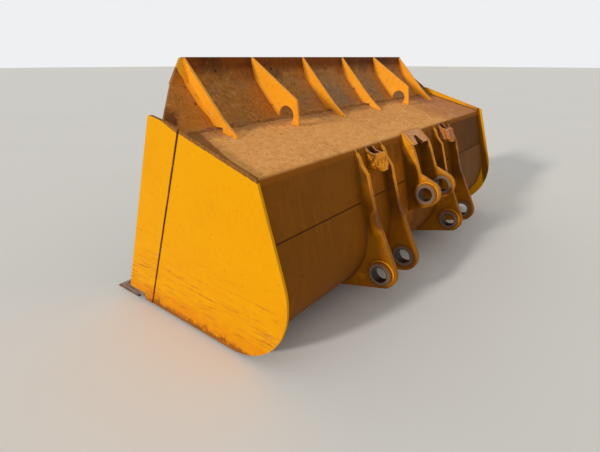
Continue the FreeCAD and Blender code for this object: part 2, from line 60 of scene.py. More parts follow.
# The sides: their faces, their rear rims and top rims, and the seam with the side edges
SIDE_INSIDE = 1.259
SIDE_OUTSIDE = 1.271
SIDE_EDGE_OUTSIDE = 1.2735
REAR_RIM = ((-0.433, 0.812), (-0.680, 0.012))
TOP_RIM_SLOPE = 0.3065
TOP_RIM_HEIGHT = 0.9448
SIDE_SEAM = ((-0.034, 0.934), (0.350, 0.012))

# Ribs, ears and stops: places across the bucket, and half of each one's thickness.
# An ear's boss stands out to the left (-1) or to the right (1).
RIB_PLACES = (-1.040, -0.208, 0.208, 1.040)
LIFTING_PLACES = (-0.624, 0.624)
RIB_HALF = 0.006
HINGE_EARS = ((-0.586, -1), (-0.344, 1), (0.344, -1), (0.586, 1))
HINGE_PIN = (-0.595, 0.215)
HINGE_BORE = 0.0375
HINGE_BOSS = 0.0635
LINK_EARS = ((-0.110, -1), (0.110, 1))
LINK_PIN = (-0.595, 0.500)
LINK_BORE = 0.035
LINK_BOSS = 0.061
EAR_HALF = 0.0125
EAR_TOP = (-0.4054, 0.7935)
ROOF_FRONT = (-0.4127, 0.8088)
ROOF_REAR = (-0.4813, 0.7475)
ROOF_SIDE = 0.0975
STOP_PLACES = (-0.465, 0.465)
STOP_HALF = 0.038
STOP_HOLLOW = 0.0264
STOP_DEPTH = 0.0450


def srgb(red, green, blue):
    """A display colour in 0 to 255, as the linear values that a shader takes."""
    return tuple((part / 255) ** 2.2 for part in (red, green, blue)) + (1.0,)


# Paint
AMBER = srgb(248, 162, 26)
BRIGHT_YELLOW = srgb(229, 157, 2)
WARM_YELLOW = srgb(216, 140, 2)
PALE_YELLOW = srgb(238, 170, 16)
PALE_AMBER = srgb(252, 190, 90)
DEEP_AMBER = srgb(212, 120, 18)
EAR_AMBER = srgb(232, 146, 22)
KEPT_AMBER = srgb(255, 184, 48)
PRIMER = srgb(186, 104, 56)

# Rust and steel
RUST = srgb(124, 66, 30)
DARK_RUST = srgb(70, 40, 22)
RED_RUST = srgb(110, 56, 30)
SPECK_RUST = srgb(150, 68, 22)
SCOURED = srgb(142, 130, 118)
SCOURED_DARK = srgb(92, 80, 70)
POLISHED = srgb(188, 182, 174)
PAD_STEEL = srgb(190, 120, 72)
PAD_BROWN = srgb(150, 92, 58)

# Dust, soil and grease, two of them also painted shade: by the guard's foot and along the left rim
DUST = srgb(234, 166, 94)
PALE_DUST = srgb(246, 186, 116)
BROWN_DUST = srgb(198, 128, 66)
PINK_DUST = srgb(188, 124, 84)
GREY_DUST = srgb(150, 122, 92)
GUARD_FOOT_SHADE_DUST = srgb(134, 90, 56)
PAD_DUST = srgb(214, 152, 100)
ROOF_DUST = srgb(226, 162, 114)
ROOF_DUST_DARK = srgb(192, 132, 90)
EARTH = srgb(96, 66, 38)
DRY_SOIL = srgb(172, 116, 66)
DARK_SOIL = srgb(122, 80, 46)
PALE_SOIL = srgb(204, 146, 88)
RIM_SHADOW_SOIL = srgb(146, 94, 50)
GREASE = srgb(38, 30, 24)

# Grime on the back wall, the rims and in the seams, and painted shade by the ears' walls, in the
# stops' hollows and under the left rim's top
WALL_BROWN = srgb(122, 72, 12)
WALL_DARK = srgb(92, 54, 14)
WALL_GREY = srgb(94, 60, 28)
WALL_RUN = srgb(148, 92, 30)
WALL_AMBER = srgb(150, 90, 18)
WALL_LOWER_TONE = srgb(126, 84, 48)
BEND_BROWN = srgb(150, 86, 16)
EAR_SHADE = srgb(82, 50, 12)
HOLLOW_SHADE = srgb(68, 38, 16)
RIM_RUST_AND_SHADE = srgb(96, 64, 40)
RIM_TAN = srgb(140, 92, 52)
SEAM_GRIME = srgb(92, 58, 18)
WALL_BEAD_BROWN = srgb(118, 70, 14)
SEAM_BEAD_BROWN = srgb(72, 42, 12)

# Spill guard
GUARD_BROWN = srgb(170, 112, 53)
GUARD_GREY = srgb(144, 106, 70)
GUARD_PALE = srgb(204, 150, 86)
GUARD_DARK = srgb(108, 68, 32)
GUARD_DUST = srgb(190, 154, 118)
GUARD_ORANGE_PAINT_AND_LIGHT = srgb(192, 114, 24)
END_BAY_LIT_ORANGE = srgb(202, 122, 32)
LIP_BROWN = srgb(120, 62, 6)
LIP_DARK = srgb(84, 42, 6)

# Floor and surround
FLOOR_PALE = srgb(232, 231, 228)
FLOOR_GREY = srgb(226, 225, 222)
DAYLIGHT = (1.0, 0.985, 0.96, 1.0)
BACKDROP = (0.86, 0.87, 0.88, 1.0)


class Field:
    """A socket of a node tree. Sums, differences and products of fields add their nodes."""

    def __init__(self, nodes, socket):
        self.nodes = nodes
        self.socket = socket

    def other(self, name):
        """Another output of the same node."""
        return Field(self.nodes, self.socket.node.outputs[name])

    def maths(self, operation, first, second):
        return self.nodes.add("ShaderNodeMath", {"operation": operation}, {0: first, 1: second})

    def __add__(self, other):
        return self.maths("ADD", self, other)

    def __radd__(self, other):
        return self.maths("ADD", other, self)

    def __sub__(self, other):
        return self.maths("SUBTRACT", self, other)

    def __rsub__(self, other):
        return self.maths("SUBTRACT", other, self)

    def __mul__(self, other):
        return self.maths("MULTIPLY", self, other)

    def __rmul__(self, other):
        return self.maths("MULTIPLY", other, self)

    def __abs__(self):
        return self.maths("ABSOLUTE", self, 0.0)

    def __or__(self, other):
        return self.maths("MAXIMUM", self, other)

    def __pow__(self, other):
        return self.maths("POWER", self, other)

    def step(self, low, high):
        """0 below low, 1 above high, and a smooth slope between. High may be the lower one."""
        flip = high < low
        ends = (high, low) if flip else (low, high)
        mask = self.nodes.add("ShaderNodeMapRange", {"interpolation_type": "SMOOTHSTEP"}, {
            "Value": self, "From Min": ends[0], "From Max": ends[1]})
        return 1 - mask if flip else mask

    def between(self, low, high, soft):
        """1 between two values and 0 outside them."""
        return self.step(low - soft, low + soft) * self.step(high + soft, high - soft)

    def mix(self, first, second):
        """A colour that goes from the first to the second as this field goes from 0 to 1."""
        sockets = {0: self, 6: first, 7: second}
        return self.nodes.add("ShaderNodeMix", {"data_type": "RGBA"}, sockets, out=2)


def covered(ground, *coats):
    """A colour under coats of others, each given with the mask of where it lies."""
    for colour, mask in coats:
        ground = mask.mix(ground, colour)
    return ground


class Nodes:
    """The node tree of a material or of the surround, empty at first."""

    def __init__(self, owner):
        owner.use_nodes = True
        self.tree = owner.node_tree
        self.tree.nodes.clear()

    def add(self, kind, settings=None, sockets=None, out=0):
        """Adds a node: its settings come first, then the values or links of its sockets."""
        node = self.tree.nodes.new(kind)
        for name, value in (settings or {}).items():
            setattr(node, name, value)
        for name, value in (sockets or {}).items():
            if isinstance(value, Field):
                self.tree.links.new(value.socket, node.inputs[name])
            else:
                node.inputs[name].default_value = value
        return Field(self, node.outputs[out]) if len(node.outputs) else None


class Finish(Nodes):
    """A material in the making: its nodes, and the places and masks that it is mixed from."""

    def __init__(self, name):
        self.material = bpy.data.materials.new(name)
        super().__init__(self.material)
        self.place = self.add("ShaderNodeTexCoord", out="Object")
        self.x, self.y, self.z = self.parts(self.place)
        self.normal = self.add("ShaderNodeNewGeometry", out="True Normal")
        self.facing_x, self.facing_y, self.facing_z = self.parts(self.normal)

    def parts(self, vector):
        first = self.add("ShaderNodeSeparateXYZ", None, {0: vector}, out="X")
        return first, first.other("Y"), first.other("Z")

    def noise(self, size, detail=4.0, rough=0.6, stretch=(1, 1, 1), shift=0.0):
        """Soft cloudy noise in 0 to 1, whose blotches are about this many metres across."""
        place = self.add("ShaderNodeMapping", None, {
            "Vector": self.place, "Location": (shift, shift * 0.7, shift * 1.3),
            "Scale": tuple(1 / (size * part) for part in stretch)})
        return self.add("ShaderNodeTexNoise", None, {
            "Vector": place, "Scale": 1.0, "Detail": detail, "Roughness": rough})

    def cells(self, size, shift=0.0):
        """Distance from the nearest of scattered points this many metres apart, in 0 to 1."""
        place = self.add("ShaderNodeMapping", None, {
            "Vector": self.place, "Location": (shift, shift, shift),
            "Scale": (1 / size, 1 / size, 1 / size)})
        return self.add("ShaderNodeTexVoronoi", None, {"Vector": place, "Scale": 1.0})

    def dots(self, spacing, radius, ragged, shift=0.0):
        """1 in scattered spots of about this radius, their edges made uneven by a noise."""
        reach = self.cells(spacing, shift) + (ragged - 0.5) * (radius / spacing)
        return reach.step(radius / spacing * 1.2, radius / spacing * 0.7)

    def spot(self, x, height, radius, ragged):
        """1 round one place, given across the bucket and up it."""
        from_x = self.x - x
        from_z = self.z - height
        reach = (from_x * from_x + from_z * from_z) ** 0.5 + (ragged - 0.5) * radius
        return reach.step(radius * 1.2, radius * 0.7)

    def off_line(self, start, end):
        """Distance from a line through two (Y, Z) points, above 0 on its left."""
        run = end[0] - start[0]
        climb = end[1] - start[1]
        length = math.hypot(run, climb)
        return (self.z - start[1]) * (run / length) - (self.y - start[0]) * (climb / length)

    def ring(self, centre):
        """Distance from an axis across the bucket through a (Y, Z) point."""
        from_y = self.y - centre[0]
        from_z = self.z - centre[1]
        return (from_y * from_y + from_z * from_z) ** 0.5

    def edges(self, width):
        """1 on an edge or corner of the plate, fading over this width."""
        round_normal = self.add("ShaderNodeBevel", {"samples": 6}, {"Radius": width})
        same = self.add("ShaderNodeVectorMath", {"operation": "DOT_PRODUCT"},
                        {0: round_normal, 1: self.normal}, out="Value")
        return same.step(0.995, 0.86)

    def corners(self, reach):
        """1 deep in a corner between plates, where soil and dust stay."""
        open_sky = self.add("ShaderNodeAmbientOcclusion", {"samples": 8}, {"Distance": reach},
                            out="AO")
        return open_sky.step(0.80, 0.42)

    def finished(self, colour, rough, bare=0.0, height=None, depth=0.001, gloss=0.25):
        """Ends the finish and returns its material. Bare is how much of it is bare metal."""
        sockets = {"Base Color": colour, "Roughness": rough, "Metallic": bare,
                   "Specular IOR Level": gloss}
        if height is not None:
            sockets["Normal"] = self.add("ShaderNodeBump", None, {
                "Height": height, "Distance": depth, "Strength": 0.8})
        shader = self.add("ShaderNodeBsdfPrincipled", None, sockets)
        self.add("ShaderNodeOutputMaterial", None, {"Surface": shader})
        return self.material


def paint_layers(finish, coat, deep, pale, worn=0.5, dust=0.35, rust=0.4):
    """Sun-bleached paint with chipped edges, rust in the chips and dust in the corners."""
    broad = finish.noise(0.30, detail=3)
    patches = finish.noise(0.055, detail=6, rough=0.65, shift=3.1)
    mottle = finish.noise(0.020, detail=4, rough=0.6, shift=5.9)
    grain = finish.noise(0.009, detail=5, rough=0.7, shift=7.7)
    edge = finish.edges(0.007)
    rubbed = edge * patches.step(0.30, 0.62)
    chipped = (edge * 0.30 + patches * 0.62 + grain * 0.30).step(0.80 - 0.10 * worn, 0.88)
    scraped = (grain + patches * 0.5).step(1.10 - 0.06 * rust, 1.16)
    specks = finish.dots(0.045, 0.0035, grain, shift=4.2) * patches.step(0.46, 0.56)
    bare = chipped | (scraped * 0.9) | (specks * rust * 1.6)
    corner = finish.corners(0.05)
    film = finish.facing_z.step(0.30, 0.95) * (patches + grain).step(0.85, 1.2)
    settled = (corner * patches.step(0.25, 0.60)) | (film * 0.8)
    colour = covered(
        coat,
        (deep, broad.step(0.50, 0.78) * 0.35),
        (deep, mottle.step(0.53, 0.68) * 0.30),
        (pale, patches.step(0.54, 0.74) * 0.35),
        (pale, rubbed * 0.65),
        (grain.step(0.4, 0.6).mix(RUST, PRIMER), bare),
        ((corner * 0.6).mix(DUST, EARTH), settled * dust * 1.6))
    rough = 0.46 + grain * 0.12 + bare * 0.30 + settled * 0.30
    height = grain * 0.20 + patches * 0.15 - bare * 0.55
    return colour, rough, height


def rib_paint():
    finish = Finish("rib_paint")
    colour, rough, height = paint_layers(finish, AMBER, DEEP_AMBER, PALE_AMBER, rust=0.6)
    return finish.finished(colour, rough, height=height, depth=0.0012)


def side_paint():
    """Sides: clean yellow above, scuffed and rusty low down, brown on the rims with painted shade
    under the left one's top, scoured inside.
    """
    finish = Finish("side_paint")
    colour, rough, height = paint_layers(finish, BRIGHT_YELLOW, WARM_YELLOW, PALE_YELLOW, worn=0.4)
    grain = finish.noise(0.012, detail=5, shift=1.9)
    scour = finish.noise(0.10, detail=8, rough=0.7, stretch=(1, 2.6, 1), shift=5.0)
    splash = finish.noise(0.045, detail=8, rough=0.72, shift=7.3)
    scuff = finish.noise(0.050, detail=8, rough=0.72, stretch=(1, 4.0, 0.30), shift=8.4)
    left = finish.x.step(0.0, -0.1)
    from_middle = abs(finish.x)
    inner_face = from_middle.step(SIDE_INSIDE + 0.0015, SIDE_INSIDE + 0.0002)
    # The left one's brown band below its top rim, which tapers out at the guard's foot: partly
    # painted shade, coloured as the shadowed ledge beside the rim, partly worn paint
    depth = finish.y.step(0.13, -0.02) * 0.0155
    below = finish.y * TOP_RIM_SLOPE + TOP_RIM_HEIGHT - finish.z + (grain - 0.5) * 0.006
    left_rim_shade_strip = (below - depth).step(0.0015, -0.0015) * finish.y.step(0.16, 0.06)
    rim = finish.facing_z.step(0.75, 0.90) * finish.z.step(0.75, 0.78)
    # Rust on the left rim's top, and the same brown as painted shade on the band below it
    rim_rust_and_shade = (grain + scour).step(0.85, 1.15).mix(RIM_RUST_AND_SHADE, RIM_TAN)
    right_rim = rim * (1 - left) * (grain + scour).step(0.90, 1.15)
    # Dirt beside the seam between the side plate and the side edge
    from_seam = abs(finish.off_line(*SIDE_SEAM) + (grain - 0.5) * 0.004)
    seam_dirt = from_seam.step(0.0050, 0.0026) * from_middle.step(1.262, 1.265)
    # Darker where the inner face stands out behind the back wall
    wall_side = finish.off_line(*WALL_LINE)
    from_rim = finish.off_line(*REAR_RIM) + (grain - 0.5) * 0.004
    behind_wall = wall_side.step(0.006, 0.0) * from_rim.step(0.009, 0.015)
    behind_wall = behind_wall * inner_face * finish.z.step(0.16, 0.30)
    # Steel scoured bare inside, in front of the shell, most of it low down
    in_heel = finish.ring(HEEL_CENTRE).step(HEEL_RADIUS + 0.004, HEEL_RADIUS - 0.002)
    in_heel = in_heel | finish.z.step(0.42, 0.44) | finish.y.step(-0.185, -0.170)
    inside = inner_face * finish.z.step(0.93, 0.80) * in_heel * wall_side.step(-0.002, 0.004)
    low = (finish.z + finish.y * 0.35).step(0.95, 0.35)
    rubbed = inside * (scour + low * 0.42).step(0.52, 0.74)
    steel = covered(scour.step(0.40, 0.60).mix(RUST, SCOURED_DARK), (SCOURED, low * 0.35))
    # Rust along the lower edge
    deep_edge = (finish.z + (splash - 0.5) * 0.20).step(0.16, 0.03)
    low_edge = (finish.z + (splash - 0.5) * 0.16).step(0.060, 0.025)
    edge_rust = (splash + grain * 0.4).step(0.60, 0.80).mix(RUST, EARTH)
    # Scuffs on the lower half outside, along the way that the bucket digs
    lower = (finish.z + (scour - 0.5) * 0.5).step(0.64, 0.12)
    lower = lower * from_middle.step(SIDE_INSIDE + 0.0015, SIDE_INSIDE + 0.0035)
    scuffed = (scuff + lower * 0.10).step(0.60, 0.72) * lower
    scuff_colour = covered(splash.step(0.45, 0.60).mix(DEEP_AMBER, PRIMER),
                           (RUST, grain.step(0.45, 0.62) * 0.8))
    colour = covered(
        colour,
        (rim_rust_and_shade, (left_rim_shade_strip | rim) * left * 0.92),
        (DEEP_AMBER, right_rim * 0.6),
        (SEAM_GRIME, seam_dirt * (scour + grain).step(0.70, 1.00) * 0.9),
        (WALL_DARK, behind_wall * 0.85),
        (steel, rubbed),
        (DEEP_AMBER, deep_edge * 0.6),
        (edge_rust, low_edge * 0.85),
        (scuff_colour, scuffed * 0.75),
        (DEEP_AMBER, lower * scour.step(0.42, 0.66) * 0.35))
    return finish.finished(colour, rough + rubbed * 0.12, bare=rubbed * 0.25,
                           height=height - rubbed * 0.3, depth=0.0012, gloss=0.05)


def ear_paint():
    """Ears: dirty paint, painted shade by the wall, ground rings on the bosses, grease in the
    bores.
    """
    finish = Finish("ear_paint")
    colour, rough, height = paint_layers(finish, EAR_AMBER, DEEP_AMBER, PALE_AMBER,
                                         worn=0.4, dust=0.4, rust=0.7)
    grime_and_shade = finish.noise(0.12, detail=6, rough=0.65, shift=2.2)
    grain = finish.noise(0.006, detail=4, shift=9.0)
    low = finish.z.step(0.72, 0.30)
    # Painted shade beside the wall, where the bend's shadow falls: how far it reaches from it, on
    # either kind of ear
    from_middle = abs(finish.x)
    from_wall = abs(finish.off_line(*WALL_LINE)) + (grime_and_shade - 0.5) * 0.014
    link = from_middle.step(0.21, 0.19)
    hinge_shade_reach = finish.z.step(0.48, 0.64) * 0.13 + 0.03
    reach = link * (finish.z.step(0.80, 0.60) * 0.068 + 0.010) + (1 - link) * hinge_shade_reach
    painted_wall_shade = (from_wall - reach).step(0.005, -0.004)
    # Painted shade also on the right link ear's inner face and on the faces inside each hinge pair
    inner_link = finish.x.between(0.085, 0.113, 0.002)
    inner_hinge = from_middle.between(0.345, 0.585, 0.002)
    painted_wall_shade = painted_wall_shade | (inner_link | inner_hinge) * from_wall.step(0.135, 0.070)
    flat = abs(finish.facing_x).step(0.6, 0.9) * (1 - finish.edges(0.008) * 0.8)
    painted_wall_shade = painted_wall_shade * flat * finish.z.step(0.36, 0.46)
    # Painted shade on the far right hinge ear
    far_ear_shade = finish.x.step(0.45, 0.55) * finish.z.step(0.45, 0.60) * 0.75
    right_top = finish.facing_z.step(0.4, 0.7) * finish.x.between(0.0, 0.20, 0.01)
    colour = covered(
        colour,
        (WALL_BROWN, (grime_and_shade + low * 0.30).step(0.50, 0.78) * 0.75),
        (grime_and_shade.step(0.42, 0.62).mix(EAR_SHADE, WALL_BROWN), painted_wall_shade * 0.90),
        (WALL_BROWN, far_ear_shade * (grime_and_shade + grain * 0.2).step(0.40, 0.60)),
        (grain.mix(PINK_DUST, DUST), right_top * finish.z.step(0.70, 0.74) * 0.8))
    for pin, bore, boss in ((HINGE_PIN, HINGE_BORE, HINGE_BOSS), (LINK_PIN, LINK_BORE, LINK_BOSS)):
        reach = finish.ring(pin)
        smear = (reach + (grime_and_shade - 0.5) * 0.03).step(boss + 0.018, boss - 0.006)
        ground = (reach + (grime_and_shade - 0.5) * 0.012).step(boss - 0.004, boss - 0.012)
        ground = ground * abs(finish.facing_x).step(0.8, 0.95)
        grease = (reach + (grime_and_shade - 0.5) * 0.006).step(bore + 0.006, bore + 0.001)
        colour = covered(
            colour,
            (grain.mix(RUST, EARTH), smear * 0.75),
            (grain.mix(SCOURED_DARK, SCOURED), ground * 0.8),
            (GREASE, grease * 0.92))
        rough = rough - grease * 0.25
    return finish.finished(colour, rough, height=height, depth=0.0014, gloss=0.1)


def shell_paint():
    """The rolled shell: dust on the ledge, grimy back wall and heel, scoured inside, with painted
    shade by the guard's foot, the left rim and in the stops' hollows.
    """
    finish = Finish("shell_paint")
    broad = finish.noise(0.34, detail=4, shift=4.4)
    patches = finish.noise(0.060, detail=7, rough=0.68, shift=6.1)
    mottle = finish.noise(0.022, detail=5, rough=0.66, shift=3.7)
    grain = finish.noise(0.010, detail=6, rough=0.72)
    ripple = finish.noise(0.032, detail=6, rough=0.66, stretch=(1.3, 1, 1), shift=12.0)
    run = finish.noise(0.05, detail=6, rough=0.6, stretch=(0.45, 5, 5), shift=2.6)
    scratch = finish.noise(0.045, detail=7, rough=0.7, stretch=(0.16, 3, 3), shift=1.3)
    # Outside of the shell: away from the middle of the hollow
    outward = finish.facing_y * (finish.y + 0.10) + finish.facing_z * (finish.z - 0.50)
    outside = outward.step(-0.01, 0.01)
    up = finish.facing_z.step(0.45, 0.90) * outside
    under = finish.facing_z.step(-0.35, -0.90) * outside
    left = (finish.x + (broad - 0.5) * 0.6).step(-0.25, -0.65)
    right = (finish.x + (broad - 0.5) * 0.8).step(0.45, 0.95)
    # The ledge, with damp soil and a painted shadow of the left rim along that rim, widest at the
    # guard's foot
    clods = finish.dots(0.060, 0.0045, grain, shift=1.4) * patches.step(0.46, 0.54)
    # Painted shade of the ribs along the guard's foot, with dust in it
    guard_foot_shade_and_dust = (finish.y + (patches - 0.5) * 0.10).step(-0.090, -0.030)
    # Painted shadow of the left rim on the ledge, with soil in it
    from_rim = finish.x + 1.151 - finish.y * 0.27
    from_rim = from_rim + (patches - 0.5) * 0.030 + (grain - 0.5) * 0.012
    rim_shadow_and_soil = from_rim.step(0.004, -0.004)
    ledge = covered(
        right.mix(DUST, PINK_DUST),
        (BROWN_DUST, broad.step(0.44, 0.66) * 0.40),
        (PALE_DUST, ripple.step(0.46, 0.66) * (0.66 - right * 0.36)),
        (BROWN_DUST, mottle.step(0.49, 0.36) * 0.50),
        (RED_RUST, (patches + right * 0.08).step(0.62, 0.74) * 0.40),
        (SPECK_RUST, grain.step(0.55, 0.65) * 0.50),
        (RUST, clods * 0.70),
        (GUARD_FOOT_SHADE_DUST, guard_foot_shade_and_dust * 0.55),
        ((mottle.step(0.56, 0.72) * 0.3).mix(RIM_SHADOW_SOIL, BROWN_DUST), rim_shadow_and_soil * 0.88))
    # The back wall with its runs of dirt, and the heel and the floor's underside
    # Lighter below the wall's seam, on the right
    below_seam = finish.z.step(0.556, 0.552) * right
    by_ears = (abs(abs(finish.x) - 0.30) + (patches - 0.5) * 0.2).step(0.34, 0.16)
    at_bend = finish.z.between(0.770, 0.797, 0.006) * finish.y.step(-0.36, -0.39)
    # Painted shade on the wall inside the stops' hollows
    stop_hollow_shade = abs(abs(finish.x) - STOP_PLACES[1]).step(STOP_HOLLOW + 0.001, STOP_HOLLOW - 0.001)
    stop_hollow_shade = stop_hollow_shade * finish.z.between(0.688, 0.790, 0.008)
    wall = covered(
        (broad + mottle * 0.3).step(0.54, 0.76).mix(WALL_BROWN, WALL_DARK),
        (WALL_RUN, run.step(0.52, 0.68) * 0.50),
        (WALL_AMBER, left * 0.55),
        (WALL_GREY, right * 0.75),
        (WALL_LOWER_TONE, below_seam * (broad + mottle * 0.4).step(0.52, 0.76) * 0.7),
        (DARK_RUST, (patches + grain * 0.4).step(0.82, 0.96) * 0.7),
        (DEEP_AMBER, by_ears * (broad + grain * 0.3).step(0.56, 0.80) * 0.50),
        (BEND_BROWN, at_bend * 0.85),
        (HOLLOW_SHADE, stop_hollow_shade * 0.9),
        (patches.step(0.4, 0.6).mix(SCOURED_DARK, RUST), under * 0.9))
    # The hollow: bare steel low down, paint kept in patches higher up, mud in the corners
    low = finish.z.step(0.62, 0.18)
    kept = (broad + finish.z.step(0.45, 0.85) * 0.25).step(0.60, 0.76)
    mud = (patches + finish.corners(0.12) * 0.40).step(0.72, 0.90)
    scoured = covered(
        (patches + low * 0.22).step(0.40, 0.66).mix(RUST, SCOURED_DARK),
        (SCOURED, (scratch + low * 0.16).step(0.50, 0.76) * 0.55),
        (DEEP_AMBER, kept * patches.step(0.40, 0.56) * 0.75),
        (grain.step(0.35, 0.65).mix(EARTH, GREY_DUST), mud * 0.85))
    inner = 1 - outside
    rough = 0.70 + grain * 0.20 + up * 0.08 - inner * scratch.step(0.50, 0.72) * 0.22
    height = grain * 0.35 + mottle * 0.35 + patches * 0.4 + scratch * inner * 0.15
    height = height + ripple * up * 0.4
    return finish.finished(outside.mix(scoured, up.mix(wall, ledge)), rough,
                           bare=inner * (1 - mud) * 0.30, height=height, depth=0.0024, gloss=0.12)


# Large dark round spots under the guard's lip: X, height and radius
LIP_SPOTS = ((-0.880, 1.130, 0.0075), (-0.500, 1.132, 0.0085), (0.0, 1.130, 0.0070))


def guard_steel():
    """The spill guard: dirty brown back with pits and rust, painted light beside the ribs and on
    the leftmost bay, scoured front, darker lip.
    """
    finish = Finish("guard_steel")
    broad = finish.noise(0.24, detail=4, shift=2.0)
    patches = finish.noise(0.050, detail=7, rough=0.68, shift=9.3)
    mottle = finish.noise(0.020, detail=5, rough=0.68, shift=6.6)
    grain = finish.noise(0.010, detail=6, rough=0.72, shift=0.6)
    run = finish.noise(0.045, detail=6, rough=0.6, stretch=(0.4, 4, 4), shift=5.5)
    scratch = finish.noise(0.050, detail=7, rough=0.7, stretch=(0.18, 3, 3), shift=1.0)
    first_rib = RIB_PLACES[0]
    # Painted light on the leftmost bay, which no rib shades
    lit_end_bay = (finish.x + (patches - 0.5) * 0.03).step(first_rib + 0.010, first_rib - 0.005)
    # Orange left of each rib: paint kept there, and painted light where the sun falls past the rib
    paint_and_light_beside_ribs = None
    for place in sorted(RIB_PLACES + LIFTING_PLACES):
        near = (finish.x + (patches - 0.5) * 0.12).between(place - 0.12, place, 0.045)
        paint_and_light_beside_ribs = near if paint_and_light_beside_ribs is None else paint_and_light_beside_ribs | near
    pits = finish.dots(0.070, 0.0062, grain, shift=3.0) * (broad + patches * 0.4).step(0.66, 0.76)
    foot = (finish.z + (patches - 0.5) * 0.03).step(0.930, 0.912)
    lip = (finish.z + (patches - 0.5) * 0.03).step(1.102, 1.154)
    lip_colour = covered((broad + grain * 0.3).step(0.58, 0.80).mix(LIP_BROWN, LIP_DARK),
                         (DEEP_AMBER, mottle.step(0.56, 0.70) * 0.35))
    below_lip = (finish.z + (patches - 0.5) * 0.06).between(1.085, 1.130, 0.016)
    back = covered(
        (broad + run * 0.3).step(0.58, 0.78).mix(GUARD_BROWN, GUARD_GREY),
        (END_BAY_LIT_ORANGE, lit_end_bay * 0.35),
        (GUARD_PALE, (mottle + run * 0.3).step(0.66, 0.82) * 0.55),
        (GUARD_DUST, finish.x.step(-0.45, -0.25) * 0.17),
        (GUARD_DARK, mottle.step(0.47, 0.34) * 0.60),
        (RUST, (patches + grain * 0.35).step(0.76, 0.90) * 0.55),
        (GUARD_ORANGE_PAINT_AND_LIGHT, paint_and_light_beside_ribs * patches.step(0.32, 0.60) * 0.52),
        (DARK_RUST, pits * 0.85),
        (DARK_RUST, grain.step(0.61, 0.69) * 0.45),
        (BROWN_DUST, foot * (grain + patches).step(0.80, 1.05) * 0.80),
        (lip_colour, lip * 0.92),
        (GUARD_DARK, below_lip * broad.step(0.42, 0.60) * 0.55))
    for x, height, radius in LIP_SPOTS:
        back = covered(back, (DARK_RUST, finish.spot(x, height, radius, grain) * 0.9))
    # Paint kept beside the leftmost rib, and rust in the guard's lower outer corners
    breadth = finish.z.step(0.925, 1.010) * 0.021 + finish.z.step(1.095, 1.140) * 0.019
    from_rib = finish.x + (RIB_HALF - first_rib)
    kept = (from_rib + breadth + (grain - 0.5) * 0.008).step(-0.003, 0.003)
    kept = kept * finish.x.step(first_rib + 0.010, first_rib) * finish.z.step(0.930, 0.950)
    outer_end = (abs(finish.x) + finish.z * 0.94 + (patches - 0.5) * 0.12).step(2.095, 2.125)
    outer_end = outer_end * (finish.z + (patches - 0.5) * 0.12).step(1.02, 0.96)
    back = covered(
        back,
        (KEPT_AMBER, kept * (0.92 - mottle.step(0.52, 0.64) * 0.25)),
        (mottle.step(0.42, 0.58).mix(RED_RUST, DARK_RUST), outer_end * 0.85))
    front = covered(
        (patches + broad * 0.5).step(0.48, 0.90).mix(RUST, SCOURED_DARK),
        (SCOURED, scratch.step(0.52, 0.74) * 0.5),
        (DEEP_AMBER, broad.step(0.56, 0.66) * patches.step(0.42, 0.55)),
        (GREY_DUST, (patches + grain * 0.3).step(0.66, 0.90) * 0.5))
    worn = finish.edges(0.006) * patches.step(0.35, 0.60)
    colour = covered(finish.facing_y.step(0.05, -0.05).mix(front, back),
                     (broad.mix(SCOURED_DARK, GUARD_ORANGE_PAINT_AND_LIGHT), worn * 0.7))
    rough = 0.66 + grain * 0.22 - worn * 0.18
    height = grain * 0.30 + mottle * 0.30 + patches * 0.45 - pits * 0.5 + run * 0.15
    return finish.finished(colour, rough, bare=worn * 0.3, height=height, depth=0.0026, gloss=0.12)


def scoured_edge():
    """Cutting edge, its segments and the wear plates: bare steel, scratched and rusting."""
    finish = Finish("scoured_edge")
    broad = finish.noise(0.22, detail=4, shift=3.3)
    patches = finish.noise(0.040, detail=7, rough=0.68, shift=1.7)
    grain = finish.noise(0.007, detail=6, rough=0.72)
    scratch = finish.noise(0.030, detail=6, rough=0.7, stretch=(0.14, 4, 4), shift=6.0)
    tip = (finish.y + (patches - 0.5) * 0.06).step(0.575, 0.665)
    rusty = (broad + patches * 0.5).step(0.70, 0.92)
    worn = finish.edges(0.006)
    mud = finish.corners(0.04) * patches.step(0.35, 0.60)
    colour = covered(
        scratch.step(0.40, 0.64).mix(SCOURED_DARK, SCOURED),
        (POLISHED, tip * 0.6),
        (grain.mix(RUST, DARK_RUST), rusty * 0.85),
        (POLISHED, worn * patches.step(0.30, 0.55) * 0.7),
        (EARTH, mud * 0.8))
    bare = 0.75 - rusty * 0.6 - mud * 0.1
    rough = 0.44 + rusty * 0.36 + grain * 0.15 - worn * 0.12
    height = grain * 0.3 + scratch * 0.5 + patches * 0.4
    return finish.finished(colour, rough, bare=bare, height=height, depth=0.0016, gloss=0.5)


